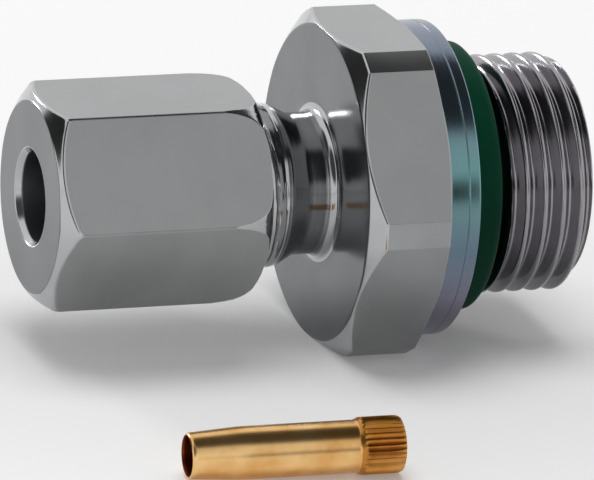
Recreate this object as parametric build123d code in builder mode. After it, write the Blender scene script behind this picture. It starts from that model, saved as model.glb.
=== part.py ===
"""Straight male stud compression fitting for 6 mm tube, with a captive face seal ring.

The turned steel body carries a parallel pipe thread behind a sealing collar, a hexagon, and a metric
thread with a 24 degree cone.  A cutting ring sits in that cone, and a union nut drives it home.
A loose brass support sleeve, which goes inside the end of a plastic tube, lies beside the fitting.

Millimetres.  The origin is the centre of the collar's sealing face, +X runs along the axis from the
union nut to the stud's end, and +Z is up.  The body lies on one flat of its hexagon.
"""

from build123d import *
import os
from math import atan, ceil, cos, radians, sin, tan

# ---- Stud end: parallel pipe thread of size 3/8, 55 degree form ----
stud_thread_diameter = 16.66
stud_thread_pitch = 25.4 / 19
stud_thread_depth = 0.856
stud_flank_angle = 27.5  # half of the thread angle
stud_crest_at_top = 5.50  # where a crest passes over the top of the axis
stud_length = 9.48  # from the sealing face to the stud's end
stud_end_chamfer = 0.70
stud_relief_diameter = 14.40
stud_relief_length = 3.20

# ---- Collar and the seal ring held in its face ----
collar_diameter = 21.90
collar_width = 2.20
seal_recess_width = 2.30  # on the radius, outwards from the stud's relief
seal_recess_depth = 0.60
seal_outer_clearance = 0.10
seal_inner_clearance = 0.10
seal_stand_out = 2.27  # how far the ring stands out of the collar's face
seal_outer_chamfer = 0.40

# ---- Hexagon of the body ----
body_across_flats = 22.00
body_corner_diameter = 24.40  # the corners are turned down to this
body_hex_length = 6.00
body_face_diameter = 21.90  # the ring left flat on the nut's side
body_lead_length = 0.90
body_back_lead_length = 0.40

# ---- Threaded end for the union nut: M12, with its fine thread left plain at the crests ----
end_thread_diameter = 11.90
end_length = 10.30  # from the hexagon to the end face
end_chamfer = 0.90
neck_diameter = 9.86
neck_length = 2.15
neck_run_out = 1.30

# ---- Passage for a 6 mm tube ----
tube_diameter = 6.00
socket_clearance = 0.05  # on the radius, between the tube and its socket
socket_depth = 7.00  # from the end face to the tube's stop
cone_mouth_width = 1.05  # on the radius, outwards from the tube
cone_half_angle = 12.0
passage_diameter = 4.00

# ---- Cutting ring ----
ring_bore_clearance = 0.10  # on the radius, over the tube
ring_wall = 1.40  # on the radius, outwards from the ring's bore
ring_length = 9.50
ring_nose_depth = 2.60  # how far the nose reaches into the cone
ring_cone_clearance = 0.08  # on the radius, between the nose and the cone
ring_shoulder_gap = 0.50  # between the ring's full diameter and the body's end face
ring_edge_width = 0.90  # from the nose to the back of the cutting edge
ring_cut_depth = 0.20  # of the groove behind the cutting edge
ring_cut_width = 1.20

# ---- Union nut ----
nut_across_flats = 14.00
nut_length = 15.20
nut_face_diameter = 13.26
nut_face_angle = 31.0  # of the front chamfer, from the face
# the rear is turned to a crown: each drop is below the corners, each length is from the rear face
nut_crown_length = 2.95
nut_crown_middle_length = 1.25
nut_crown_middle_drop = 0.20
nut_crown_edge_length = 0.30
nut_crown_edge_drop = 0.56
nut_crown_drop = 1.00
nut_turned = 1.35  # degrees about +X, from the body's hexagon
nut_hole_clearance = 0.15  # on the radius, over the tube
nut_hole_length = 2.72  # from the front face to the shoulder
nut_hole_chamfer_depth = 0.45
nut_hole_chamfer_width = 0.26
nut_shoulder_angle = 45.0
nut_seat_clearance = 0.10  # along the axis, between the ring's back and the nut's shoulder
nut_thread_clearance = 0.07  # on the radius, over the body's thread
nut_mouth_chamfer = 0.25

# ---- Brass support sleeve, lying beside the fitting ----
sleeve_length = 14.70
sleeve_diameter = 3.56
sleeve_nose_diameter = 3.06
sleeve_nose_length = 3.60
sleeve_bore_diameter = 2.70
sleeve_knurl_diameter = 3.88
sleeve_knurl_length = 2.80
sleeve_knurl_teeth = 30
sleeve_knurl_depth = 0.16
sleeve_middle_x = -18.72
sleeve_distance = 27.20  # from the fitting's axis, towards -Y
sleeve_turned = -3.5  # degrees about +Z, from the fitting's axis

# ---- Places along the axis, and radii, that follow from the sizes ----
hex_back = -collar_width
hex_front = hex_back - body_hex_length
end_face = hex_front - end_length
neck_end = hex_front - neck_length
end_thread_start = neck_end - neck_run_out
tube_stop = end_face + socket_depth
floor = -body_across_flats / 2

stud_radius = stud_thread_diameter / 2
collar_radius = collar_diameter / 2
corner_radius = body_corner_diameter / 2
end_radius = end_thread_diameter / 2
neck_radius = neck_diameter / 2
relief_radius = stud_relief_diameter / 2
recess_radius = relief_radius + seal_recess_width
passage_radius = passage_diameter / 2
socket_radius = tube_diameter / 2 + socket_clearance
cone_mouth_radius = tube_diameter / 2 + cone_mouth_width
cone_end = end_face + (cone_mouth_radius - socket_radius) / tan(radians(cone_half_angle))

ring_nose = end_face + ring_nose_depth
ring_back = ring_nose - ring_length
ring_front = end_face - ring_shoulder_gap
cutting_edge = ring_nose - ring_edge_width
ring_bore_radius = tube_diameter / 2 + ring_bore_clearance
ring_radius = ring_bore_radius + ring_wall
ring_back_radius = (ring_radius + ring_bore_radius) / 2
ring_back_corner = ring_back + (ring_radius - ring_back_radius) / tan(radians(nut_shoulder_angle))

nut_hole_radius = tube_diameter / 2 + nut_hole_clearance
nut_thread_radius = end_radius + nut_thread_clearance
shoulder_slope = tan(radians(nut_shoulder_angle))
# the shoulder is the ring's back cone, moved back by the seat's clearance
shoulder_top = ring_back_corner - nut_seat_clearance + (nut_thread_radius - ring_radius) / shoulder_slope
shoulder_foot = shoulder_top - (nut_thread_radius - nut_hole_radius) / shoulder_slope
nut_front = shoulder_foot - nut_hole_length
nut_rear = nut_front + nut_length


def thread_groove(crest_radius, depth, pitch, flank_angle, crest_at_top, first, last):
    """The space between the turns of a right-hand thread, at least from first to last along X.

    Its sides are ruled between helices, one turn at a time, and each helix starts above the axis.
    """
    slope = tan(radians(flank_angle))
    crest_width = pitch / 6
    half_width = (pitch - crest_width) / 2  # of the groove, at the crests
    lift = 0.4 * crest_width / slope  # how far the groove's section reaches past the crests
    section = (
        (lift, half_width + lift * slope),
        (-depth, half_width - depth * slope),
        (-depth, depth * slope - half_width),
        (lift, -half_width - lift * slope),
    )
    groove_at_top = crest_at_top + pitch / 2
    start = groove_at_top - pitch * ceil((groove_at_top - first) / pitch)
    sides = []
    ends = []
    for turn in range(ceil((last - start) / pitch)):
        helices = [
            Edge.make_helix(
                pitch,
                pitch,
                crest_radius + outward,
                center=(start + pitch * turn + along, 0, 0),
                normal=(1, 0, 0),
            )
            for outward, along in section
        ]
        sides += [Face.make_surface_from_curves(helices[i - 1], helices[i]) for i in range(len(section))]
        ends += [[helix @ 0 for helix in helices], [helix @ 1 for helix in helices]]
    caps = [Face(Wire.make_polygon(corners, close=True)) for corners in (ends[0], ends[-1])]
    return Solid(Shell(sides + caps))


stud_groove = thread_groove(
    stud_radius,
    stud_thread_depth,
    stud_thread_pitch,
    stud_flank_angle,
    stud_crest_at_top,
    stud_relief_length - stud_thread_pitch,
    stud_length + stud_thread_pitch,
)

# ---- Stud body: hexagon, collar, stud and threaded end in one turned piece ----
with BuildPart() as stud_body:
    with BuildSketch(Plane.YZ.offset(hex_front)):
        RegularPolygon(body_across_flats / 2, 6, major_radius=False)
    extrude(amount=body_hex_length)
    # turning the hexagon bar leaves its corners round and both its faces led in
    with BuildSketch(Plane.XY):
        with BuildLine():
            Polyline(
                (hex_front, 0),
                (hex_front, body_face_diameter / 2),
                (hex_front + body_lead_length, corner_radius),
                (hex_back - body_back_lead_length, corner_radius),
                (hex_back, collar_radius),
                (hex_back, 0),
                close=True,
            )
        make_face()
    revolve(axis=Axis.X, mode=Mode.INTERSECT)
    # neck and threaded end
    with BuildSketch(Plane.XY):
        with BuildLine():
            Polyline(
                (hex_front, 0),
                (hex_front, neck_radius),
                (neck_end, neck_radius),
                (end_thread_start, end_radius),
                (end_face + end_chamfer, end_radius),
                (end_face, end_radius - end_chamfer),
                (end_face, 0),
                close=True,
            )
        make_face()
    revolve(axis=Axis.X)
    # collar and stud
    with BuildSketch(Plane.XY):
        with BuildLine():
            Polyline(
                (hex_back, 0),
                (hex_back, collar_radius),
                (0, collar_radius),
                (0, recess_radius),
                (-seal_recess_depth, recess_radius),
                (-seal_recess_depth, relief_radius),
                (stud_relief_length, relief_radius),
                (stud_relief_length, stud_radius),
                (stud_length - stud_end_chamfer, stud_radius),
                (stud_length, stud_radius - stud_end_chamfer),
                (stud_length, 0),
                close=True,
            )
        make_face()
    revolve(axis=Axis.X)
    add(stud_groove, mode=Mode.SUBTRACT)
    # cone, tube socket and passage
    with BuildSketch(Plane.XY):
        with BuildLine():
            Polyline(
                (end_face, 0),
                (end_face, cone_mouth_radius),
                (cone_end, socket_radius),
                (tube_stop, socket_radius),
                (tube_stop, passage_radius),
                (stud_length, passage_radius),
                (stud_length, 0),
                close=True,
            )
        make_face()
    revolve(axis=Axis.X, mode=Mode.SUBTRACT)
stud_body.part.label = "stud_body"

# ---- Face seal: the moulded ring in the collar's recess ----
seal_inner_radius = relief_radius + seal_inner_clearance
seal_outer_radius = recess_radius - seal_outer_clearance
with BuildPart() as face_seal:
    with BuildSketch(Plane.XY):
        with BuildLine():
            Polyline(
                (-seal_recess_depth, seal_inner_radius),
                (-seal_recess_depth, seal_outer_radius),
                (seal_stand_out - seal_outer_chamfer, seal_outer_radius),
                (seal_stand_out, seal_outer_radius - seal_outer_chamfer),
                (seal_stand_out, seal_inner_radius),
                close=True,
            )
        make_face()
    revolve(axis=Axis.X)
face_seal.part.label = "face_seal"

# ---- Cutting ring: tapered nose with two cutting edges, and a back cone for the nut ----
nose_radius = cone_mouth_radius - ring_nose_depth * tan(radians(cone_half_angle)) - ring_cone_clearance
mouth_radius = cone_mouth_radius - ring_cone_clearance
with BuildPart() as cutting_ring:
    with BuildSketch(Plane.XY):
        with BuildLine():
            Polyline(
                (ring_nose, ring_bore_radius),
                (ring_nose, nose_radius),
                (end_face, mouth_radius),
                (ring_front, mouth_radius),
                (ring_front, ring_radius),
                (ring_back_corner, ring_radius),
                (ring_back, ring_back_radius),
                (ring_back, ring_bore_radius),
                close=True,
            )
        make_face()
        # the relief behind the cutting edge
        with BuildLine():
            Polyline(
                (cutting_edge, ring_bore_radius),
                (cutting_edge, ring_bore_radius + ring_cut_depth),
                (cutting_edge - ring_cut_width, ring_bore_radius),
                close=True,
            )
        make_face(mode=Mode.SUBTRACT)
    revolve(axis=Axis.X)
cutting_ring.part.label = "cutting_ring"

# ---- Union nut ----
nut_corner_radius = nut_across_flats / 2 / cos(radians(30))
front_rise = nut_corner_radius - nut_face_diameter / 2
crown_slope = nut_crown_middle_drop / (nut_crown_length - nut_crown_middle_length)
with BuildPart() as union_nut:
    with BuildSketch(Plane.YZ.offset(nut_front)):
        RegularPolygon(nut_across_flats / 2, 6, major_radius=False, rotation=nut_turned)
    extrude(amount=nut_length)
    # front chamfer and rear crown; both start outside the corners, so that they cut clean through them
    with BuildSketch(Plane.XY):
        with BuildLine():
            Polyline(
                (nut_front, 0),
                (nut_front, nut_face_diameter / 2),
                (nut_front + 2 * front_rise * tan(radians(nut_face_angle)), nut_corner_radius + front_rise),
                (nut_rear - 2 * nut_crown_length, nut_corner_radius + crown_slope * nut_crown_length),
                (nut_rear - nut_crown_middle_length, nut_corner_radius - nut_crown_middle_drop),
                (nut_rear - nut_crown_edge_length, nut_corner_radius - nut_crown_edge_drop),
                (nut_rear, nut_corner_radius - nut_crown_drop),
                (nut_rear, 0),
                close=True,
            )
        make_face()
    revolve(axis=Axis.X, mode=Mode.INTERSECT)
    # tube hole, shoulder and thread bore
    with BuildSketch(Plane.XY):
        with BuildLine():
            Polyline(
                (nut_front, 0),
                (nut_front, nut_hole_radius + nut_hole_chamfer_width),
                (nut_front + nut_hole_chamfer_depth, nut_hole_radius),
                (shoulder_foot, nut_hole_radius),
                (shoulder_top, nut_thread_radius),
                (nut_rear - nut_mouth_chamfer, nut_thread_radius),
                (nut_rear, nut_thread_radius + nut_mouth_chamfer),
                (nut_rear, 0),
                close=True,
            )
        make_face()
    revolve(axis=Axis.X, mode=Mode.SUBTRACT)
union_nut.part.label = "union_nut"

# ---- Support sleeve: it rests on its knurled end and on the foot of its nose ----
sleeve_radius = sleeve_diameter / 2
knurl_radius = sleeve_knurl_diameter / 2
resting_span = sleeve_length - sleeve_knurl_length - sleeve_nose_length
sleeve_tilt = atan((knurl_radius - sleeve_radius) / resting_span)
sleeve_aside = Vector(sin(radians(sleeve_turned)), -cos(radians(sleeve_turned)), 0)  # level, across the sleeve
sleeve_ahead = Vector(cos(radians(sleeve_turned)), sin(radians(sleeve_turned)), 0)
sleeve_axis = sleeve_ahead * cos(sleeve_tilt) + Vector(0, 0, sin(sleeve_tilt))
knurl_start = sleeve_length - sleeve_knurl_length
knurl_start_height = floor + knurl_radius * cos(sleeve_tilt)
nose_height = knurl_start_height - knurl_start * sin(sleeve_tilt)
sleeve_nose = (
    Vector(sleeve_middle_x, -sleeve_distance, nose_height) - sleeve_ahead * (sleeve_length / 2 * cos(sleeve_tilt))
)
sleeve_plane = Plane(origin=sleeve_nose, x_dir=sleeve_axis, z_dir=sleeve_aside)
with BuildPart() as tube_insert:
    with BuildSketch(sleeve_plane):
        with BuildLine():
            Polyline(
                (0, sleeve_bore_diameter / 2),
                (0, sleeve_nose_diameter / 2),
                (sleeve_nose_length, sleeve_radius),
                (knurl_start, sleeve_radius),
                (knurl_start, knurl_radius),
                (sleeve_length, knurl_radius),
                (sleeve_length, sleeve_bore_diameter / 2),
                close=True,
            )
        make_face()
    revolve(axis=Axis(sleeve_nose, sleeve_axis))
    with BuildSketch(Plane(origin=sleeve_nose + sleeve_axis * knurl_start, x_dir=sleeve_aside, z_dir=sleeve_axis)):
        with PolarLocations(knurl_radius, sleeve_knurl_teeth):
            RegularPolygon(sleeve_knurl_depth, 4)
    extrude(amount=sleeve_knurl_length, mode=Mode.SUBTRACT)
tube_insert.part.label = "tube_insert"

os.makedirs("parts", exist_ok=True)
for piece in (stud_body, face_seal, cutting_ring, union_nut, tube_insert):
    export_step(piece.part, f"parts/{piece.part.label}.step")
    print(piece.part.label, round(piece.part.volume, 2), "mm3")
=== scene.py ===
# %% [markdown]
# # A stud compression fitting with its seal ring and support sleeve
# The real fitting is a few turned parts: a zinc-plated steel body with a hexagon, a collar and two
# threads, a union nut with a cutting ring inside it, a green seal ring, and a loose brass sleeve.
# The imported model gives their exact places, so the scene starts by loading it as a fixed frame.

# %% Load the frame and keep its size
import math

import bpy
import numpy as np
from mathutils import Matrix, Vector


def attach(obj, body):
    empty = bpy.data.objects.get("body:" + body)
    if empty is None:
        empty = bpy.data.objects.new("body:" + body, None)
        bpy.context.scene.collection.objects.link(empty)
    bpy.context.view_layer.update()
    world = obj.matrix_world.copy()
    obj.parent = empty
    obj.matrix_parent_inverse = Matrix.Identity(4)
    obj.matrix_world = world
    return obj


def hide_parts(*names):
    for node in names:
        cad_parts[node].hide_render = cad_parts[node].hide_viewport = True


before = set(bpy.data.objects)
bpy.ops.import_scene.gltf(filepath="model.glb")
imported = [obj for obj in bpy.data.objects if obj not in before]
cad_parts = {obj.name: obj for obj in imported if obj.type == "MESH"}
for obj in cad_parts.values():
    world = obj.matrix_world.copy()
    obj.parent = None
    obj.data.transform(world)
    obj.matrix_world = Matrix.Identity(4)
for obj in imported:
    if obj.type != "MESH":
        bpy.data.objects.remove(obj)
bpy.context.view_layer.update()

print("nodes:", sorted(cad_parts))

# %% [markdown]
# ## Camera
# A product shot of something this small is taken from far off with a long lens, so that parallel
# edges stay nearly parallel. A 36 mm wide sensor and a lens of over half a metre do the same here.
# The camera comes first, because every later choice of detail depends on what it shows.

# %% Camera
CAMERA_PLACE = (-0.21096, -0.53550, 0.18809)  # metres
CAMERA_TURN = (1.246018, -0.061699, -0.339556)  # radians
LENS = 528.6  # mm

camera_data = bpy.data.cameras.new("product_camera")
camera_data.sensor_width = 36
camera_data.lens = LENS
camera = bpy.data.objects.new("product_camera", camera_data)
bpy.context.collection.objects.link(camera)
camera.location = CAMERA_PLACE
camera.rotation_euler = CAMERA_TURN
bpy.context.scene.camera = camera
view_direction = camera.rotation_euler.to_matrix() @ Vector((0, 0, -1))
print("camera looks along", [round(value, 3) for value in view_direction])

# %% [markdown]
# ## Turning on a lathe
# Nearly every surface of a fitting is turned: one outline, spun about the axis. A modifier such
# as Screw could spin a curve, but it can't cut a hexagon or a thread on the way. So one function
# builds a grid instead: its rows follow the outline, its columns are angles about the axis, and a
# corner of the outline may move with the angle, as a hexagon's edge swings along a turned cone.
# Each corner has a small rounding, because no real edge is sharp, and that is where it shines. One
# more row just past each rounding keeps the big faces truly flat where light runs over them.

# %% Outline of a turned piece
ARC_STEPS = 3  # in each rounded edge
EDGE_SHARE = 0.45  # the most of a face that one rounding may take
SUPPORT_SHARE = 0.3  # the most of a face that lies between a rounding and its next row
SHARP_ANGLE = 50  # degrees; sharper edges than this keep two separate normals


def distance(start, end):
    """How far apart two rows of points are at each angle, and never quite 0."""
    return np.maximum(np.sqrt(((end - start) ** 2).sum(axis=0)), 1e-6)


def outline(corners, angles):
    """Rows of (x, radius) at each angle, in mm, and the finish of each strip of faces after a row.

    A corner is (x, radius, rounding, spacing, finish): spacing and finish are for the face after
    it, and each of x, radius and finish is one value or one value for each angle.
    """
    places = [
        np.array([np.broadcast_to(x, angles.shape), np.broadcast_to(radius, angles.shape)], float)
        for x, radius, *_ in corners
    ]
    arcs = []
    for index, (_, _, rounding, _, _) in enumerate(corners):
        here, before, after = places[index], places[index - 1], places[(index + 1) % len(places)]
        if not rounding:
            arcs.append([here])
            continue
        start = here + (before - here) * np.minimum(rounding / distance(before, here), EDGE_SHARE)
        end = here + (after - here) * np.minimum(rounding / distance(here, after), EDGE_SHARE)
        steps = np.linspace(0, 1, ARC_STEPS + 1)
        arcs.append([(1 - t) ** 2 * start + 2 * t * (1 - t) * here + t**2 * end for t in steps])
    rows, finishes = [], []
    for index, (_, _, rounding, spacing, finish) in enumerate(corners):
        following = (index + 1) % len(corners)
        start, end = arcs[index][-1], arcs[following][0]
        gap = distance(start, end)
        first = np.minimum(rounding / gap, SUPPORT_SHARE)
        last = 1 - np.minimum(corners[following][2] / gap, SUPPORT_SHARE)
        parts = max(1, math.ceil((gap * (last - first)).max() / spacing))
        shares = [first + (last - first) * part / parts for part in range(parts + 1)]
        shares = shares[0 if rounding else 1 : None if corners[following][2] else -1]
        strip = arcs[index] + [start + (end - start) * share for share in shares]
        rows += strip
        finishes += [np.broadcast_to(finish, angles.shape)] * len(strip)
    return np.array(rows), np.array(finishes)


print("a rounded corner has", ARC_STEPS + 1, "rows")

# %% Lathe
def lathe(name, corners, angles, shape=None):
    """Spins an outline about X into one closed mesh; shape may change the radius of any point."""
    rows, finishes = outline(corners, angles)
    x, radius = rows[:, 0], rows[:, 1]
    if shape:
        radius = shape(x, radius, angles)
    turn = np.radians(angles)
    points = np.stack([x, radius * np.cos(turn), radius * np.sin(turn)], axis=-1).reshape(-1, 3)
    here = np.arange(x.size).reshape(x.shape)
    along, around = np.roll(here, -1, axis=0), np.roll(here, -1, axis=1)
    faces = np.stack([here, along, np.roll(along, -1, axis=1), around], axis=-1).reshape(-1, 4)
    mesh = bpy.data.meshes.new(name)
    mesh.from_pydata((points / 1000).tolist(), [], faces.tolist())
    mesh.polygons.foreach_set("material_index", finishes.astype(np.int32).ravel())
    mesh.shade_smooth()
    mesh.set_sharp_from_angle(angle=math.radians(SHARP_ANGLE))
    mesh.validate()
    piece = bpy.data.objects.new(name, mesh)
    bpy.context.collection.objects.link(piece)
    print(f"{name}: {x.shape[0]} rows x {x.shape[1]} columns, {2 * len(faces)} triangles")
    return piece


print("edges sharper than", SHARP_ANGLE, "degrees keep their crease")

# %% [markdown]
# ## Hexagons and threads
# A hexagon bar is six planes, so its radius at any angle is the distance to the nearest plane. The
# body's corners are turned down to a cylinder, which leaves a narrow strip between two flats, and
# the nut's corners keep their edges, slightly rounded by the drawing of the bar.
# A thread is a radius that rises and falls with the distance from its helix. Both threads are
# right-handed, so a crest moves along +X by one pitch for each turn about +X.

# %% Hexagon
FLAT_ANGLE = 60  # degrees between one flat and the next
HALF_FLAT = FLAT_ANGLE / 2


def hexagon(across_flats, angles, turned=0, most=math.inf, rounding=0):
    """The radius of a hexagon bar at each angle, no more than most, with its edges rounded."""
    off_flat = (angles - turned) % FLAT_ANGLE - HALF_FLAT
    radius = across_flats / 2 / np.cos(np.radians(off_flat))
    if rounding:
        slant = math.cos(math.radians(HALF_FLAT))
        centre = (across_flats / 2 - rounding) / slant  # of the edge's rounding
        tangent = math.atan2(rounding / 2, centre + rounding * slant)  # where it meets the flat
        off_edge = np.radians(HALF_FLAT - np.abs(off_flat))
        inside = np.minimum(off_edge, tangent)
        round_edge = centre * np.cos(inside) + np.sqrt(rounding**2 - (centre * np.sin(inside)) ** 2)
        radius = np.where(off_edge < tangent, round_edge, radius)
    return np.minimum(radius, most)


def columns(count, near=(), turned=0):
    """Evenly spaced angles, and closer ones at each place near a hexagon's edges."""
    even = np.arange(count) * 360 / count
    close = [(corner * FLAT_ANGLE + side * place + turned) % 360
             for corner in range(6) for side in (-1, 1) for place in near]
    return np.unique(np.round(np.concatenate([even, close]), 4))


print("22 mm across flats is", round(2 * hexagon(22, np.array([0.0])).item(), 2), "mm over the edges")

# %% Thread
def soft_least(one, other, blend):
    """The lesser of two values, with the corner between them rounded over blend."""
    overlap = np.maximum(blend - np.abs(one - other), 0) / blend
    return np.minimum(one, other) - overlap**2 * blend / 4


def thread(x, angles, crest_at_top, pitch, half_angle, mid_depth, depth, blend):
    """How far a thread's surface lies below its crests, in mm."""
    turns = (x - crest_at_top) / pitch - (angles - 90) / 360
    off_crest = np.abs(turns - np.round(turns)) * pitch
    flank = mid_depth + (off_crest - pitch / 4) / math.tan(math.radians(half_angle))
    return -soft_least(-soft_least(flank, depth, blend), 0, blend)


def fade(value, start, end):
    """0 at start, 1 at end, smooth between."""
    share = np.clip((value - start) / (end - start), 0, 1)
    return share**2 * (3 - 2 * share)


print("halfway through a fade:", fade(0.5, 0, 1))

# %% [markdown]
# ## Finishes
# All the steel is zinc-plated and passivated: a thin bright coat that follows whatever is under it.
# On the drawn hexagon bar it lies satin and faintly mottled. On turned faces it keeps the tool's
# fine rings, which smear reflections across them. The passivation film is thin enough to colour
# the collar a little, as oil does on water.
# One function adds a node with its settings and links, and one turns a hex colour to linear light.

# %% Colour and node helpers
def linear(hex_colour):
    """An sRGB hex colour as linear red, green, blue and 1."""
    parts = [int(hex_colour[place : place + 2], 16) / 255 for place in (1, 3, 5)]
    return tuple(p / 12.92 if p <= 0.04045 else ((p + 0.055) / 1.055) ** 2.4 for p in parts) + (1,)


def node(tree, kind, inputs=None, **settings):
    """Adds one node; inputs are values for its sockets, or other nodes' sockets to link there."""
    made = tree.nodes.new("ShaderNode" + kind)
    for name, value in settings.items():
        setattr(made, name, value)
    for name, value in (inputs or {}).items():
        if isinstance(value, bpy.types.NodeSocket):
            tree.links.new(value, made.inputs[name])
        else:
            made.inputs[name].default_value = value
    return made


def new_material(name):
    """A material with nothing but its output; returns it, its tree and the output."""
    material = bpy.data.materials.new(name)
    material.use_nodes = True
    material.node_tree.nodes.clear()
    return material, material.node_tree, node(material.node_tree, "OutputMaterial")


print("mid grey #808080 is", round(linear("#808080")[0], 3), "in linear light")


# %% Where a turned surface is: along the axis and out from it
def lathe_place(tree):
    """The place along X and the distance from X, so that tool rings follow any turned form."""
    place = node(tree, "TexCoord").outputs["Object"]
    parts = node(tree, "SeparateXYZ", {0: place})
    flat = node(tree, "CombineXYZ", {"X": 0.0, "Y": parts.outputs["Y"], "Z": parts.outputs["Z"]})
    out = node(tree, "VectorMath", {0: flat.outputs[0]}, operation="LENGTH")
    rings_at = node(tree, "CombineXYZ", {"X": parts.outputs["X"], "Y": out.outputs["Value"]})
    return rings_at.outputs[0], place


print("tool rings follow the place along X and the distance from it")

# %% Zinc-plated steel
PATCH_TO_GRAIN = 12  # the coat's patches are this many grains wide
PATCH_EDGES = 0.35, 0.65  # of the noise, between which one tint passes into the other


def zinc(name, colours, roughness, ring_spacing, ring_depth, grain_size, grain_depth):
    """Zinc-plated and passivated steel. Sizes are in mm: the tool's rings and the coat's grain.

    The gloss changes over the wide patches. Over the fine grain it would look like pits.
    """
    material, tree, output = new_material(name)
    rings_at, place = lathe_place(tree)
    grain = node(tree, "TexNoise", {"Vector": place, "Scale": 1000 / grain_size, "Detail": 3.0})
    patches = node(tree, "TexNoise", {"Vector": place, "Detail": 2.0,
                                      "Scale": 1000 / (PATCH_TO_GRAIN * grain_size)})
    rings = node(tree, "TexNoise", {"Vector": rings_at, "Scale": 1000 / ring_spacing, "Detail": 2.0})
    tint = node(tree, "ValToRGB", {0: patches.outputs["Fac"]})
    for element, position, colour in zip(tint.color_ramp.elements, PATCH_EDGES, colours):
        element.position, element.color = position, linear(colour)
    gloss = node(tree, "MapRange", {"Value": patches.outputs["Fac"],
                                    "From Min": 0.3, "From Max": 0.7,
                                    "To Min": roughness[0], "To Max": roughness[1]})
    ring_bump = node(tree, "Bump", {"Height": rings.outputs["Fac"], "Distance": ring_depth / 1000})
    bump = node(tree, "Bump", {"Height": grain.outputs["Fac"], "Distance": grain_depth / 1000,
                               "Normal": ring_bump.outputs["Normal"]})
    shader = node(tree, "BsdfPrincipled", {"Base Color": tint.outputs["Color"], "Metallic": 1.0,
                                           "Roughness": gloss.outputs["Result"],
                                           "Normal": bump.outputs["Normal"]})
    tree.links.new(shader.outputs[0], output.inputs["Surface"])
    return material


print("the coat's patches are", PATCH_TO_GRAIN, "grains wide")

# %% Zinc finishes
# drawn through a die and left alone: satin and even, so that a flat is one calm grey
drawn_bar = zinc("zinc_plated_drawn_bar", ("#9b9c9d", "#a3a4a5"), (0.27, 0.33),
                 ring_spacing=4.0, ring_depth=0.0, grain_size=0.45, grain_depth=0.0012)
# finely turned: bright, with rings 0.12 mm apart, as a fine feed of the lathe leaves them
turned_steel = zinc("zinc_plated_turned_steel", ("#acaeb0", "#b8babb"), (0.12, 0.18),
                    ring_spacing=0.12, ring_depth=0.003, grain_size=0.5, grain_depth=0.002)
# the thread: bright, so that each turn shows as a light and a dark line, and slightly violet
rolled_thread = zinc("zinc_plated_thread", ("#918f93", "#9e9ca0"), (0.14, 0.22),
                     ring_spacing=0.10, ring_depth=0.003, grain_size=0.4, grain_depth=0.002)
# drilled: dull, so that the holes stay quiet
inside_steel = zinc("zinc_plated_bore", ("#8b8f94", "#989ca1"), (0.30, 0.40),
                    ring_spacing=0.15, ring_depth=0.005, grain_size=0.5, grain_depth=0.002)
# faced off square: smooth, and it mirrors what stands in front of it; its dark colour is painted
# shade, a darker copy of the same zinc for the fronts
turned_face_painted_shade = zinc("zinc_plated_turned_face", ("#67696b", "#727476"), (0.13, 0.19),
                   ring_spacing=0.12, ring_depth=0.004, grain_size=0.5, grain_depth=0.002)
# turned with a coarse feed: the brightest, with rings wide enough to break up its highlights
turned_neck = zinc("zinc_plated_turned_neck", ("#aeb0b2", "#b9bbbc"), (0.10, 0.15),
                   ring_spacing=0.42, ring_depth=0.022, grain_size=0.5, grain_depth=0.001)
# the turned-down corners of the bar: a little rougher, so that their dark line has soft edges
turned_strip = zinc("zinc_plated_turned_corners", ("#98999a", "#a2a3a4"), (0.28, 0.34),
                    ring_spacing=0.20, ring_depth=0.006, grain_size=0.5, grain_depth=0.002)
plain_steels = (drawn_bar, turned_steel, rolled_thread, inside_steel, turned_face_painted_shade, turned_neck,
                turned_strip)
print("steel finishes:", [finish.name for finish in plain_steels])

# %% [markdown]
# ## The collar's colours
# A passivation film is so thin that it tints the light it sends back, and the tint changes with its
# thickness. On this collar it runs from violet over blue to teal and back with the height. A ramp
# over the height draws that, and the close rings of the finishing tool break it up.

# %% Collar finish
FILM_HEIGHTS = -0.011, 0.011  # metres: the ramp's two ends, at the fitting's lowest and highest
FILM_COLOURS = {0.25: "#cfc8dc", 0.42: "#a9c2d2", 0.56: "#a4d0d0", 0.68: "#b4f0ec", 0.80: "#b4d8e0"}

collar_steel = zinc("zinc_plated_collar", ("#9fa3a8", "#adb0b4"), (0.18, 0.28),
                    ring_spacing=0.20, ring_depth=0.014, grain_size=0.5, grain_depth=0.001)
collar_tree = collar_steel.node_tree
collar_shader = next(made for made in collar_tree.nodes if made.type == "BSDF_PRINCIPLED")
plain_zinc = collar_shader.inputs["Base Color"].links[0].from_socket
height = node(collar_tree, "SeparateXYZ", {0: node(collar_tree, "TexCoord").outputs["Object"]})
along_film = node(collar_tree, "MapRange", {"Value": height.outputs["Z"],
                                            "From Min": FILM_HEIGHTS[0], "From Max": FILM_HEIGHTS[1]})
film = node(collar_tree, "ValToRGB", {0: along_film.outputs["Result"]})
film.color_ramp.elements[0].color = linear("#d9d3e6")
film.color_ramp.elements[1].color = linear("#c4cbdc")
for position, colour in FILM_COLOURS.items():
    film.color_ramp.elements.new(position).color = linear(colour)
tinted = node(collar_tree, "Mix", {"Factor": 1.0, 6: plain_zinc, 7: film.outputs["Color"]},
              data_type="RGBA", blend_type="MULTIPLY")
collar_tree.links.new(tinted.outputs[2], collar_shader.inputs["Base Color"])
print("collar finish:", collar_steel.name, "with", len(film.color_ramp.elements), "colours")

# %% [markdown]
# ## Body
# The body is one bar of steel. From the right: the stud with its pipe thread, the collar with the
# seal's recess, the hexagon, a neck, and the fine thread with its cone for the cutting ring. Its
# outline is written once, from the stud's end leftwards and back through the bore, in millimetres.

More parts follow.
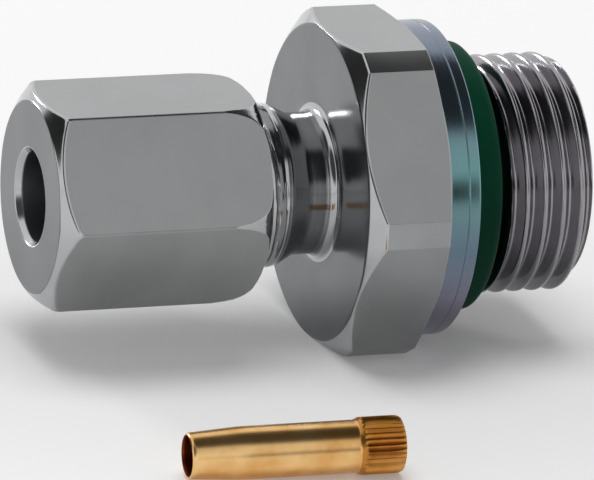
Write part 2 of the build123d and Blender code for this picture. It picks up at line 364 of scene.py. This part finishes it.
# %% Body sizes
BODY_ACROSS_FLATS = 22.0
CORNER_RADIUS = 12.2  # the hexagon's corners are turned down to this
FACE_RADIUS = 10.95  # of the collar, and of the ring left flat on the hexagon's front
HEX_BACK, HEX_FRONT = -2.2, -8.2
BACK_LEAD, FRONT_LEAD = 0.4, 0.9  # how far each lead reaches along the axis at the corners
STRIP_PLACE = HALF_FLAT - math.degrees(math.acos(BODY_ACROSS_FLATS / 2 / CORNER_RADIUS))
STUD_RADIUS, STUD_END, STUD_PITCH, STUD_CHAMFER = 8.33, 9.48, 25.4 / 19, 0.70
RELIEF_RADIUS, RELIEF_END, RUN_OUT_END = 7.2, 2.95, 3.35  # between the collar and the stud's thread
RECESS_RADIUS, RECESS_DEPTH = 9.5, 0.6  # for the seal, in the collar's face
GROOVE_PLACE, GROOVE_HALF, GROOVE_DEPTH = -0.86, 0.06, 0.05  # a fine line round the collar
END_RADIUS, END_FACE, END_PITCH, END_CHAMFER = 5.95, -18.5, 1.5, 0.90
NECK_RADIUS, NECK_END, THREAD_START, THREAD_FULL = 4.93, -10.35, -11.65, -13.5
CONE_MOUTH, CONE_FOOT = 4.05, -13.795  # the 24 degree cone for the cutting ring
SOCKET_RADIUS, SOCKET_END, PASSAGE_RADIUS = 3.05, -11.5, 2.0

# FACE picks the zinc with painted shade, a darker copy used on the faced-off fronts
FLAT, TURNED, COLLAR, THREADED, INSIDE, STRIP, FACE, NECK = range(8)
steel_finishes = (drawn_bar, turned_steel, collar_steel, rolled_thread, inside_steel, turned_strip,
                  turned_face_painted_shade, turned_neck)
print("the corner strips reach", round(STRIP_PLACE, 2), "degrees to each side of a corner")

# %% Body outline
body_angles = columns(240, near=[STRIP_PLACE + step for step in (-0.4, -0.15, 0, 0.15, 0.4)])
hex_radius = hexagon(BODY_ACROSS_FLATS, body_angles, most=CORNER_RADIUS)
rise = (hex_radius - FACE_RADIUS) / (CORNER_RADIUS - FACE_RADIUS)  # 1 at the corners
off_corner = np.abs((body_angles + HALF_FLAT) % FLAT_ANGLE - HALF_FLAT)
flat_or_strip = np.where((off_corner > STRIP_PLACE - 0.01), FLAT, STRIP)
body_corners = [
    (STUD_END, PASSAGE_RADIUS + 0.30, 0.04, 4.0, TURNED),
    (STUD_END, STUD_RADIUS - STUD_CHAMFER, 0.10, 0.09, THREADED),
    (STUD_END - STUD_CHAMFER, STUD_RADIUS, 0.06, 0.085, THREADED),
    (RUN_OUT_END, STUD_RADIUS, 0.06, 0.10, THREADED),
    (RELIEF_END, RELIEF_RADIUS, 0.15, 1.0, TURNED),
    (-RECESS_DEPTH, RELIEF_RADIUS, 0, 2.0, TURNED),
    (-RECESS_DEPTH, RECESS_RADIUS, 0, 0.6, TURNED),
    (0, RECESS_RADIUS, 0.08, 0.5, TURNED),
    (0, FACE_RADIUS, 0.16, 0.3, COLLAR),
    (GROOVE_PLACE + GROOVE_HALF, FACE_RADIUS, 0.02, 0.2, COLLAR),
    (GROOVE_PLACE, FACE_RADIUS - GROOVE_DEPTH, 0.02, 0.2, COLLAR),
    (GROOVE_PLACE - GROOVE_HALF, FACE_RADIUS, 0.02, 0.3, COLLAR),
    (HEX_BACK, FACE_RADIUS, 0.05, 0.3, TURNED),
    (HEX_BACK - BACK_LEAD * rise, hex_radius, 0.07, 1.2, flat_or_strip),
    (HEX_FRONT + FRONT_LEAD * rise, hex_radius, 0.14, 0.2, TURNED),
    (HEX_FRONT, FACE_RADIUS, 0.10, 1.2, FACE),
    (HEX_FRONT, NECK_RADIUS, 0.60, 0.3, NECK),
    (NECK_END, NECK_RADIUS, 0.15, 0.09, NECK),
    (THREAD_START, END_RADIUS - 0.33, 0.12, 0.09, NECK),
    (THREAD_FULL, END_RADIUS - 0.06, 0.05, 0.15, THREADED),
    (END_FACE + END_CHAMFER, END_RADIUS, 0.06, 0.15, THREADED),
    (END_FACE, END_RADIUS - END_CHAMFER, 0.08, 0.4, TURNED),
    (END_FACE, CONE_MOUTH, 0.05, 0.8, INSIDE),
    (CONE_FOOT, SOCKET_RADIUS, 0, 2.5, INSIDE),
    (SOCKET_END, SOCKET_RADIUS, 0, 1.1, INSIDE),
    (SOCKET_END, PASSAGE_RADIUS, 0, 5.2, INSIDE),
    (STUD_END - 0.30, PASSAGE_RADIUS, 0.04, 0.3, TURNED),
]
print("body outline:", len(body_corners), "corners")

# %% Body threads
STUD_THREAD = dict(crest_at_top=5.50, pitch=STUD_PITCH, half_angle=27.5, mid_depth=0.428,
                   depth=0.856, blend=0.16)
END_THREAD = dict(crest_at_top=-12.0, pitch=END_PITCH, half_angle=30.0, mid_depth=0.437,
                  depth=0.92, blend=0.06)
FADE_START, FADE_END = -12.7, -11.9  # where the fine thread dies out towards the neck


def body_shape(x, radius, angles):
    """Cuts both threads: the stud's all the way, the end's fading out towards the neck."""
    stud_crests = STUD_RADIUS - thread(x, angles, **STUD_THREAD)
    on_stud = (x > RELIEF_END - 0.05) & (radius > RELIEF_RADIUS - 0.05)
    radius = np.where(on_stud, soft_least(radius, stud_crests, 0.08), radius)
    end_depth = thread(x, angles, **END_THREAD) * (1 - fade(x, FADE_START, FADE_END))
    on_end = (x < NECK_END) & (radius > NECK_RADIUS - 0.03)
    return np.where(on_end, soft_least(radius, END_RADIUS - end_depth, 0.05), radius)


stud_body = lathe("plated_stud_body", body_corners, body_angles, body_shape)
for finish in steel_finishes:
    stud_body.data.materials.append(finish)
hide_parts("stud_body")
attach(stud_body, "body")

# %% [markdown]
# ## Union nut
# The nut is a smaller hexagon, turned a little from the body's. Its front has a chamfer that only
# just bites the flats, and its rear a long one that leaves tapering arcs. Inside, its thread is the
# body's own helix with a little room all round, so it stays in mesh while the nut unscrews.

# %% Nut sizes
NUT_ACROSS_FLATS, NUT_TURNED = 14.0, 1.35
NUT_FRONT, NUT_REAR = -28.87, -13.67
NUT_FACE_RADIUS = 6.63  # of the flat ring on the front
NUT_HOLE, NUT_HOLE_END, SHOULDER_TOP = 3.15, -26.15, -23.28
NUT_THREAD_RADIUS, NUT_CREST_RADIUS = 6.02, 5.19  # the inside thread's roots and its crests
NUT_FADE_START, NUT_FADE_END = -22.4, -21.6  # where the inside thread begins, past the shoulder

nut_angles = columns(288, near=(0, 0.35, 0.7, 1.05, 1.5), turned=NUT_TURNED)
nut_radius = hexagon(NUT_ACROSS_FLATS, nut_angles, turned=NUT_TURNED, rounding=0.24)
print("the nut is", round(2 * nut_radius.max(), 2), "mm over its edges")

# %% Nut crowns
# each is written as how far it drops below the edges' radius, at places along the axis
front_drops = np.array([0.0, 0.03, 0.12, 0.30, 0.72, 1.45])  # below the corners' radius
front_reaches = np.array([1.15, 1.02, 0.88, 0.74, 0.45, 0.0])  # behind the front face
front_end = np.interp(nut_radius.max() - nut_radius, front_drops, front_reaches)
crown_places = NUT_REAR - np.array([0.0, 0.05, 0.30, 0.70, 1.25, 2.0, 2.95])
crown_radii = nut_radius.max() - np.array([1.00, 0.90, 0.56, 0.36, 0.20, 0.085, 0.0])
crown_end = np.interp(nut_radius, crown_radii, crown_places)  # where each crown meets the bar


def crown_corner(share):
    """A corner of the crown, a share of the way from the rear face to the bar's side."""
    x = NUT_REAR + (crown_end - NUT_REAR) * share
    radius = np.interp(-x, -crown_places, crown_radii)
    return (x, np.minimum(radius, nut_radius), 0, 1.0, TURNED)


def front_corner(share):
    """A corner of the front crown, a share of the way from the bar's side to the face."""
    reach = front_end * (1 - share)
    radius = nut_radius.max() - np.interp(reach, front_reaches[::-1], front_drops[::-1])
    return (NUT_FRONT + reach, np.minimum(radius, nut_radius), 0, 1.0, TURNED)


print("the crowns reach", round(front_end.max(), 2), "and", round(NUT_REAR - crown_end.min(), 2),
      "mm along the edges")

# %% Nut outline
nut_corners = [
    (NUT_REAR, NUT_THREAD_RADIUS + 0.25, 0.04, 0.2, TURNED),
    (NUT_REAR, np.minimum(crown_radii[0], nut_radius - 0.06), 0.06, 0.3, TURNED),
    *[crown_corner(share) for share in (0.1, 0.2, 0.35, 0.5, 0.65, 0.8, 0.92)],
    (crown_end - 0.05, nut_radius, 0.05, 1.5, FLAT),
    (NUT_FRONT + front_end + 0.03, nut_radius, 0.16, 0.3, TURNED),
    *[front_corner(share) for share in (0.15, 0.3, 0.45, 0.6, 0.75, 0.9)],
    (NUT_FRONT, NUT_FACE_RADIUS, 0.10, 0.8, FACE),
    (NUT_FRONT, NUT_HOLE + 0.26, 0.06, 0.15, TURNED),
    (NUT_FRONT + 0.45, NUT_HOLE, 0.06, 0.8, INSIDE),
    (NUT_HOLE_END, NUT_HOLE, 0.05, 0.8, INSIDE),
    (SHOULDER_TOP, NUT_THREAD_RADIUS, 0.05, 0.15, INSIDE),
    (NUT_REAR - 0.25, NUT_THREAD_RADIUS, 0.03, 0.08, INSIDE),
]
print("nut outline:", len(nut_corners), "corners")


# %% Nut thread
def nut_shape(x, radius, angles):
    """Fills the plain bore with the inside thread, which fades out before the shoulder."""
    room = 0.07
    crests = END_RADIUS - thread(x, angles, **END_THREAD) + room
    inside_thread = np.clip(crests, NUT_CREST_RADIUS, NUT_THREAD_RADIUS)
    near_mouth = fade(x, NUT_REAR - 0.5, NUT_REAR - 0.2)
    share = fade(x, NUT_FADE_START, NUT_FADE_END) * (1 - near_mouth)
    on_thread = (radius < 6.3) & (radius > 5.9)
    return np.where(on_thread, radius + (inside_thread - NUT_THREAD_RADIUS) * share, radius)


union_nut = lathe("plated_union_nut", nut_corners, nut_angles, nut_shape)
for finish in steel_finishes:
    union_nut.data.materials.append(finish)
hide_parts("union_nut")
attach(union_nut, "nut")

# %% [markdown]
# ## Seal ring
# The ring is moulded from a green elastomer: no metal, a soft broad sheen, and rounded edges. It
# sits in the collar's recess and stands out of it, ready to be pressed flat.

# %% Seal finish
seal_rubber, tree, output = new_material("green_elastomer_moulded")
place = node(tree, "TexCoord").outputs["Object"]
skin = node(tree, "TexNoise", {"Vector": place, "Scale": 1000 / 0.25, "Detail": 3.0})
bloom = node(tree, "TexNoise", {"Vector": place, "Scale": 1000 / 3.0, "Detail": 2.0})
shade = node(tree, "ValToRGB", {0: bloom.outputs["Fac"]})
shade.color_ramp.elements[0].color = linear("#003525")
shade.color_ramp.elements[1].color = linear("#01442f")
skin_bump = node(tree, "Bump", {"Height": skin.outputs["Fac"], "Distance": 0.006 / 1000})
shader = node(tree, "BsdfPrincipled", {"Base Color": shade.outputs["Color"], "Roughness": 0.62,
                                       "Specular IOR Level": 0.12,
                                       "Normal": skin_bump.outputs["Normal"]})
tree.links.new(shader.outputs[0], output.inputs["Surface"])
print("seal finish:", seal_rubber.name)

# %% Seal ring
SEAL_INNER, SEAL_OUTER, SEAL_TOP = 7.3, 9.4, 2.27
seal_corners = [
    (SEAL_TOP, SEAL_INNER, 0.35, 0.6, 0),
    (SEAL_TOP, SEAL_OUTER, 0.60, 0.3, 0),
    (-RECESS_DEPTH, SEAL_OUTER, 0.20, 0.6, 0),
    (-RECESS_DEPTH, SEAL_INNER, 0.20, 0.6, 0),
]
face_seal = lathe("moulded_face_seal", seal_corners, columns(240))
face_seal.data.materials.append(seal_rubber)
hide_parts("face_seal")
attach(face_seal, "body")

# %% [markdown]
# ## Cutting ring
# The hardened ring hides inside the nut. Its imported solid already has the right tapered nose,
# cutting edge and back cone, so it stays and only gets a finish: dull, dark, case-hardened steel.

# %% Cutting ring
ring_steel = zinc("hardened_ring_steel", ("#6d7074", "#7b7e82"), (0.30, 0.42),
                  ring_spacing=0.12, ring_depth=0.004, grain_size=0.4, grain_depth=0.002)
cutting_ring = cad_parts["cutting_ring"]
cutting_ring.data.materials.clear()
cutting_ring.data.materials.append(ring_steel)
print("cutting ring keeps its solid, finish", ring_steel.name)

# %% [markdown]
# ## Support sleeve
# The sleeve is thin brass tube, turned down to a nose that enters the plastic tube, with a straight
# knurl at the other end that stops it going in too far. It lies on its knurl and the foot of its
# nose, so its axis is tilted by about one degree.

# %% Brass finishes
BRASS_RING_SPACING, BRASS_PATCH_SIZE = 0.14, 2.5  # mm


def turned_brass(name, colours, roughness):
    """Bare turned brass, with the tool's fine rings and a faint tarnish in patches."""
    material, tree, output = new_material(name)
    rings_at, place = lathe_place(tree)
    tool_rings = node(tree, "TexNoise", {"Vector": rings_at, "Scale": 1000 / BRASS_RING_SPACING,
                                         "Detail": 2.0})
    patches = node(tree, "TexNoise", {"Vector": place, "Scale": 1000 / BRASS_PATCH_SIZE,
                                      "Detail": 3.0})
    shade = node(tree, "ValToRGB", {0: patches.outputs["Fac"]})
    for element, position, colour in zip(shade.color_ramp.elements, PATCH_EDGES, colours):
        element.position, element.color = position, linear(colour)
    ring_bump = node(tree, "Bump", {"Height": tool_rings.outputs["Fac"], "Distance": 0.006 / 1000})
    shader = node(tree, "BsdfPrincipled", {"Base Color": shade.outputs["Color"], "Metallic": 1.0,
                                           "Roughness": roughness,
                                           "Normal": ring_bump.outputs["Normal"]})
    tree.links.new(shader.outputs[0], output.inputs["Surface"])
    return material


# the shaft is the brightest, the knurl browner, and the drilled bore the darkest
brass_finishes = (
    turned_brass("brass_turned", ("#e0a860", "#f2c88a"), 0.26),
    turned_brass("brass_knurled", ("#b87a33", "#d49a52"), 0.30),
    turned_brass("brass_drilled", ("#7c3c14", "#965022"), 0.38),
)
print("brass finishes:", [finish.name for finish in brass_finishes])

# %% Sleeve
SLEEVE_LENGTH, SLEEVE_BORE = 14.7, 1.35
NOSE_RADIUS, NOSE_LENGTH, SLEEVE_RADIUS = 1.53, 3.6, 1.78
KNURL_RADIUS, KNURL_START, KNURL_TEETH, KNURL_DEPTH = 1.94, 11.9, 30, 0.16
SLEEVE_TURNED = math.radians(-3.5)  # about Z, from the fitting's axis
SLEEVE_MIDDLE = -18.72, -27.20  # x and y
KNURL_COLUMNS = 12 * KNURL_TEETH
SHAFT, KNURL, DRILLED = range(3)
sleeve_corners = [
    (SLEEVE_LENGTH, SLEEVE_BORE + 0.1, 0.05, 0.2, SHAFT),
    (SLEEVE_LENGTH, KNURL_RADIUS, 0.50, 0.25, KNURL),
    (KNURL_START, KNURL_RADIUS, 0.10, 0.08, KNURL),
    (KNURL_START - 0.38, SLEEVE_RADIUS, 0.08, 0.8, SHAFT),
    (NOSE_LENGTH, SLEEVE_RADIUS, 0.40, 0.5, SHAFT),
    (0.12, NOSE_RADIUS + 0.02, 0.20, 0.2, SHAFT),
    (0, SLEEVE_BORE + 0.04, 0.05, 0.2, DRILLED),
    (0.2, SLEEVE_BORE, 0.05, 1.5, DRILLED),
    (SLEEVE_LENGTH - 0.1, SLEEVE_BORE, 0, 0.2, DRILLED),
]


def knurl_shape(x, radius, angles):
    """Cuts the straight knurl's V grooves, which fade out on the shoulder and at the end's edge."""
    off_ridge = np.abs((angles * KNURL_TEETH / 360) % 1 - 0.5) * 2
    depth = KNURL_DEPTH * off_ridge * fade(x, KNURL_START - 0.25, KNURL_START + 0.25)
    floor_radius = SLEEVE_RADIUS - 0.02
    on_knurl = radius > SLEEVE_RADIUS + 0.01
    grooved = np.maximum(np.minimum(radius, KNURL_RADIUS - depth), floor_radius)
    return np.where(on_knurl, grooved, radius)


sleeve = lathe("brass_support_sleeve", sleeve_corners, columns(KNURL_COLUMNS), knurl_shape)
for finish in brass_finishes:
    sleeve.data.materials.append(finish)

# %% Sleeve at rest on the floor
tilt = math.atan((KNURL_RADIUS - SLEEVE_RADIUS) / (KNURL_START - NOSE_LENGTH))
FLOOR = -BODY_ACROSS_FLATS / 2
nose_height = FLOOR + KNURL_RADIUS * math.cos(tilt) - KNURL_START * math.sin(tilt)
half = SLEEVE_LENGTH / 2 * math.cos(tilt)
nose = Vector((SLEEVE_MIDDLE[0] - half * math.cos(SLEEVE_TURNED),
               SLEEVE_MIDDLE[1] - half * math.sin(SLEEVE_TURNED), nose_height))
sleeve.matrix_world = (Matrix.Translation(nose / 1000) @ Matrix.Rotation(SLEEVE_TURNED, 4, "Z")
                       @ Matrix.Rotation(-tilt, 4, "Y"))
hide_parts("tube_insert")
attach(sleeve, "body")
print("the sleeve's axis is tilted by", round(math.degrees(tilt), 2), "degrees")

# %% [markdown]
# ## Floor, backdrop and light
# Metal shows its surroundings more than its own colour, so the studio around it matters as much as
# the finish. The fitting lies on a white table in a white room, whose walls give the flats their
# even grey. Where the ceiling is dark, and where black cards stand, the turned edges get the black
# lines that make them look like metal. Two soft lamps light the table, and one of them also shows
# in the neck. What the camera sees and what the metal mirrors is the same room.

# %% Floor
FLOOR_REACH = 3.0  # metres
# the table's glow is painted light: least in an oval round GLOW_MIDDLE, a painted shadow under the
# fitting, and most beyond GLOW_TO
GLOW_MIDDLE = (-0.010, 0.0, 0.0)  # metres, under the fitting
GLOW_STRETCH = (0.7, 1.0, 0.0)  # makes the glow's edge an oval that is longer along X
GLOW_FROM, GLOW_TO = 0.006, 0.050  # metres from the middle
GLOW_LEAST, GLOW_MOST = 0.12, 0.27

floor_mesh = bpy.data.meshes.new("studio_floor")
floor_mesh.from_pydata([(x, y, FLOOR / 1000) for x, y in
                        ((-FLOOR_REACH, -FLOOR_REACH), (FLOOR_REACH, -FLOOR_REACH),
                         (FLOOR_REACH, FLOOR_REACH), (-FLOOR_REACH, FLOOR_REACH))], [], [(0, 1, 2, 3)])
studio_floor = bpy.data.objects.new("studio_floor", floor_mesh)
bpy.context.collection.objects.link(studio_floor)
print("the floor lies", -FLOOR, "mm below the axis")


# %% What is seen
def seen(tree):
    """1 for what the camera sees, directly or in metal, and 0 for what only lights the object."""
    rays = node(tree, "LightPath").outputs
    either = node(tree, "Math", {0: rays["Is Camera Ray"], 1: rays["Is Glossy Ray"]},
                  operation="MAXIMUM")
    return node(tree, "Math", {0: either.outputs[0], 1: rays["Is Transmission Ray"]},
                operation="MAXIMUM").outputs[0]


print("the camera, metal and glass see the same room and table")

# %% White table
# a glow of its own, painted light, brings the table up to white around the fitting; the glow is least
# in an oval under the fitting, a painted shadow there besides the lamps' own
white_table, tree, output = new_material("white_table")
place = node(tree, "TexCoord").outputs["Object"]
off_middle = node(tree, "VectorMath", {0: place, 1: GLOW_MIDDLE}, operation="SUBTRACT")
oval = node(tree, "VectorMath", {0: off_middle.outputs[0], 1: GLOW_STRETCH}, operation="MULTIPLY")
reach = node(tree, "VectorMath", {0: oval.outputs[0]}, operation="LENGTH")
glow = node(tree, "MapRange", {"Value": reach.outputs["Value"],
                               "From Min": GLOW_FROM, "From Max": GLOW_TO,
                               "To Min": GLOW_LEAST, "To Max": GLOW_MOST},
            interpolation_type="SMOOTHSTEP")
paint = node(tree, "BsdfDiffuse", {"Color": linear("#f4f4f4")})
glowing = node(tree, "Emission", {"Color": linear("#ffffff"), "Strength": glow.outputs["Result"]})
bright = node(tree, "AddShader", {0: paint.outputs[0], 1: glowing.outputs[0]})
plain = node(tree, "BsdfDiffuse", {"Color": linear("#aeb0b3")})
shown = node(tree, "MixShader", {0: seen(tree), 1: plain.outputs[0], 2: bright.outputs[0]})
tree.links.new(shown.outputs[0], output.inputs["Surface"])
studio_floor.data.materials.append(white_table)
print("table finish:", white_table.name)

# %% Room
FILL_STRENGTH = 0.22  # of the light that reaches what isn't metal
ROOM_SHADES = [  # the way towards each, the fade's start and end as cosines, and the light left
    ((0.30, -0.10, 0.95), 0.80, 0.90, 0.05),  # the dark ceiling
    ((0.33, -0.72, 0.61), 0.84, 0.97, 0.80),  # the front wall, a little darker than the others
    ((0.33, -0.94, 0.02), 0.955, 0.99, 0.05),  # a black card low in front
    ((-0.50, -0.60, 0.62), 0.84, 0.94, 0.08),  # a black card, front left
    ((-0.80, 0.50, 0.34), 0.925, 0.965, 0.03),  # another, back left
]

world = bpy.data.worlds.new("studio_room")
bpy.context.scene.world = world
world.use_nodes = True
tree = world.node_tree
tree.nodes.clear()
direction = node(tree, "TexCoord").outputs["Generated"]
print("room:", len(ROOM_SHADES), "darker places in a white room")


# %% Light from each way
def towards(x, y, z):
    """How nearly a ray heads in this direction: 1 is straight towards it."""
    return node(tree, "VectorMath", {0: direction, 1: Vector((x, y, z)).normalized()},
                operation="DOT_PRODUCT").outputs["Value"]


def dimmed(light, aim, start, end, least):
    """Dims the room's light from start to end of the way towards aim."""
    share = node(tree, "MapRange", {"Value": towards(*aim), "From Min": start, "From Max": end,
                                    "To Min": 1.0, "To Max": least},
                 interpolation_type="SMOOTHSTEP")
    return node(tree, "Math", {0: light, 1: share.outputs["Result"]},
                operation="MULTIPLY").outputs[0]


light = 1.0
for darker_place in ROOM_SHADES:
    light = dimmed(light, *darker_place)
room = node(tree, "Background", {"Color": linear("#ffffff"), "Strength": light})
fill = node(tree, "Background", {"Color": linear("#ffffff"), "Strength": FILL_STRENGTH})
shown = node(tree, "MixShader", {0: seen(tree), 1: fill.outputs[0], 2: room.outputs[0]})
tree.links.new(shown.outputs[0], node(tree, "OutputWorld").inputs["Surface"])
print("room's nodes:", len(tree.nodes))


# %% Lamps
def soft_box(name, place, aim, size, watts):
    """A square area lamp at place, turned to aim, in metres."""
    lamp_data = bpy.data.lights.new(name, "AREA")
    lamp_data.size = size
    lamp_data.energy = watts
    lamp = bpy.data.objects.new(name, lamp_data)
    bpy.context.collection.objects.link(lamp)
    lamp.location = place
    lamp.rotation_euler = (Vector(aim) - Vector(place)).to_track_quat("-Z", "Y").to_euler()
    lamp.visible_glossy = False  # the metal mirrors the room, not the boxes
    return lamp


soft_box("overhead_box", (-0.06, 0.04, 0.95), (0, 0, 0), 0.65, 4.6)
back_box = soft_box("back_box", (-0.34, 0.89, 0.33), (-0.01, 0, 0), 0.22, 2.4)
back_box.visible_glossy = True  # it gives the neck its white band

scene = bpy.context.scene
scene.view_settings.view_transform = "Standard"
